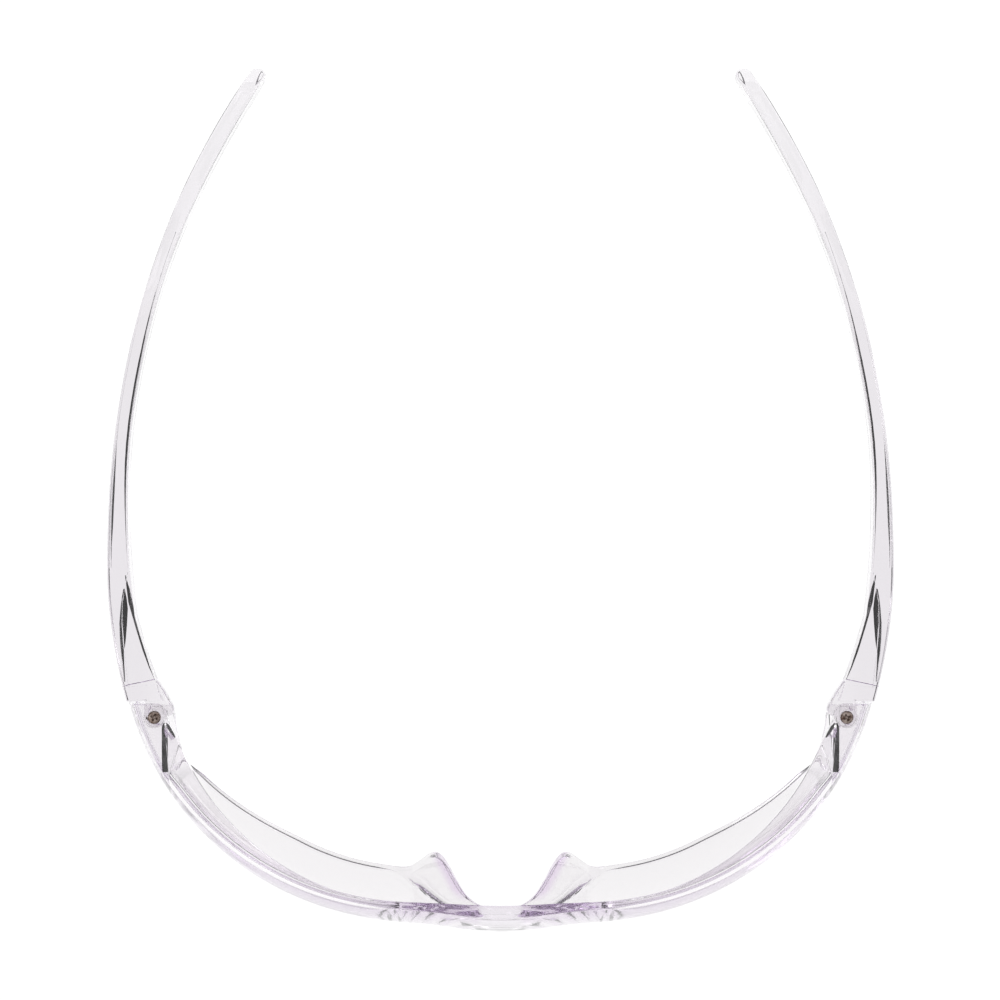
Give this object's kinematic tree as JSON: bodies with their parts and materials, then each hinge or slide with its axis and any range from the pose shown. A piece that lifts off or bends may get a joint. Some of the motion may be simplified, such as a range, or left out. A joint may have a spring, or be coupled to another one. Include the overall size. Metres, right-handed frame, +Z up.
{
  "type": "safety glasses",
  "caption": "Clear wraparound safety glasses: a moulded lens shield with nose pads and hinge lugs, and folding temples on small screws.",
  "frame": {"origin": "on the table under the middle of the glasses, which stand on the lens's lower edge and the two temple tips", "axes": "+Z up, the lens faces -Y, the temples run back along +Y, +X is the wearer's left"},
  "size_m": [0.151, 0.1686, 0.044],
  "materials": {
    "lens_plastic": "clear polycarbonate with a faint violet tint, polished",
    "temple_plastic": "clear moulded polycarbonate, polished",
    "screw_metal": "nickel-plated steel, slightly browned"
  },
  "bodies": {
    "front": {"lens_shield": "lens_plastic", "hinge_screw_left": "screw_metal", "hinge_screw_right": "screw_metal"},
    "left_arm": {"temple_left": "temple_plastic"},
    "right_arm": {"temple_right": "temple_plastic"}
  },
  "joints": [
    {"name": "left_temple_fold", "type": "hinge", "parent": "front", "child": "left_arm", "pos_m": [0.0662, -0.0425, 0.0311], "axis": [0, 0, 1], "range_deg": [0, 86]},
    {"name": "right_temple_fold", "type": "hinge", "parent": "front", "child": "right_arm", "pos_m": [-0.0662, -0.0425, 0.0311], "axis": [0, 0, -1], "range_deg": [0, 78]}
  ]
}
